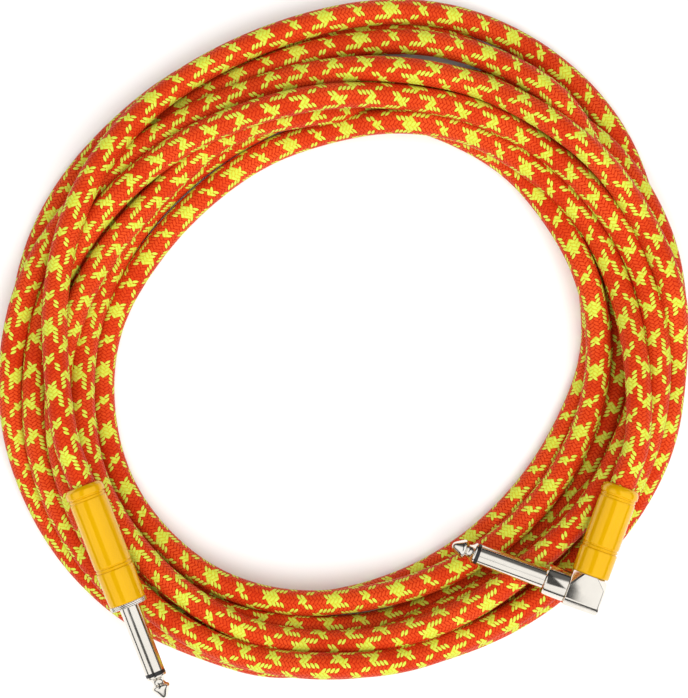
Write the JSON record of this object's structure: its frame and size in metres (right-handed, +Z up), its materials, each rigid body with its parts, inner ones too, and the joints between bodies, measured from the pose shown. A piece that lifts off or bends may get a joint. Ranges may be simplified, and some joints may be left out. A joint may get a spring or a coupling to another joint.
{
  "type": "instrument cable",
  "caption": "Coiled instrument cable with a woven cover, one straight and one right-angle phone plug, each with a screw-off metal shell.",
  "frame": {"origin": "centre of the coil's footprint on the surface it lies on", "axes": "+Z up out of the coil; +Y towards the side of the coil away from the plugs; +X towards the right-angle plug's side"},
  "size_m": [0.216, 0.2174, 0.0351],
  "materials": {
    "woven_cover": "16 by 16 yarn braid, two over and two under, of orange-red and yellow-green monofilament, slightly glossy",
    "yellow_paint": "smooth yellow enamel",
    "nickel_plate": "polished nickel plating",
    "black_insulator": "moulded",
    "liner_film": "translucent film tube",
    "fibre_washer": "vulcanised fibre",
    "tinned_brass": "tin plated",
    "rubber_jacket": "matt",
    "dielectric": "extruded",
    "bare_copper": "stranded bare copper",
    "solder": "dull solder"
  },
  "bodies": {
    "cable": {"cable_coil": "woven_cover", "straight_plug_body": "nickel_plate", "straight_plug_insulator": "black_insulator", "straight_plug_tip": "nickel_plate", "straight_plug_washer": "fibre_washer", "straight_plug_tip_lug": "tinned_brass", "straight_plug_ground_lug": "tinned_brass", "straight_plug_jacket_end": "rubber_jacket", "straight_plug_dielectric": "dielectric", "straight_plug_conductor": "bare_copper", "straight_plug_screen_pigtail": "bare_copper", "straight_plug_tip_solder": "solder", "straight_plug_ground_solder": "solder", "straight_plug_lead": "woven_cover", "angled_plug_housing": "nickel_plate", "angled_plug_rear_cap": "nickel_plate", "angled_plug_body": "nickel_plate", "angled_plug_insulator": "black_insulator", "angled_plug_tip": "nickel_plate", "angled_plug_washer": "fibre_washer", "angled_plug_tip_lug": "tinned_brass", "angled_plug_ground_lug": "tinned_brass", "angled_plug_jacket_end": "rubber_jacket", "angled_plug_dielectric": "dielectric", "angled_plug_conductor": "bare_copper", "angled_plug_screen_pigtail": "bare_copper", "angled_plug_tip_solder": "solder", "angled_plug_ground_solder": "solder", "angled_plug_lead": "woven_cover"},
    "straight_liner": {"straight_plug_liner": "liner_film"},
    "straight_shell": {"straight_plug_shell": "yellow_paint"},
    "angled_liner": {"angled_plug_liner": "liner_film"},
    "angled_shell": {"angled_plug_shell": "yellow_paint"}
  },
  "joints": [
    {"name": "straight_thread_advance", "type": "slide", "parent": "cable", "child": "straight_liner", "axis": [-0.3621, 0.9322, 0], "range_m": [0, 0.00375]},
    {"name": "straight_shell_turn", "type": "hinge", "parent": "straight_liner", "child": "straight_shell", "pos_m": [-0.07256, -0.06207, 0.029], "axis": [-0.3621, 0.9322, 0], "range_deg": [0, 1800]},
    {"name": "angled_thread_advance", "type": "slide", "parent": "cable", "child": "angled_liner", "axis": [0.3419, 0.9397, 0], "range_m": [0, 0.00375]},
    {"name": "angled_shell_turn", "type": "hinge", "parent": "angled_liner", "child": "angled_shell", "pos_m": [0.08087, -0.05782, 0.026], "axis": [0.3419, 0.9397, 0], "range_deg": [0, 1800]}
  ],
  "couplings": [
    {"joint": "straight_shell_turn", "follows": "straight_thread_advance", "rad_per_m": 8377.6},
    {"joint": "angled_shell_turn", "follows": "angled_thread_advance", "rad_per_m": 8377.6}
  ]
}
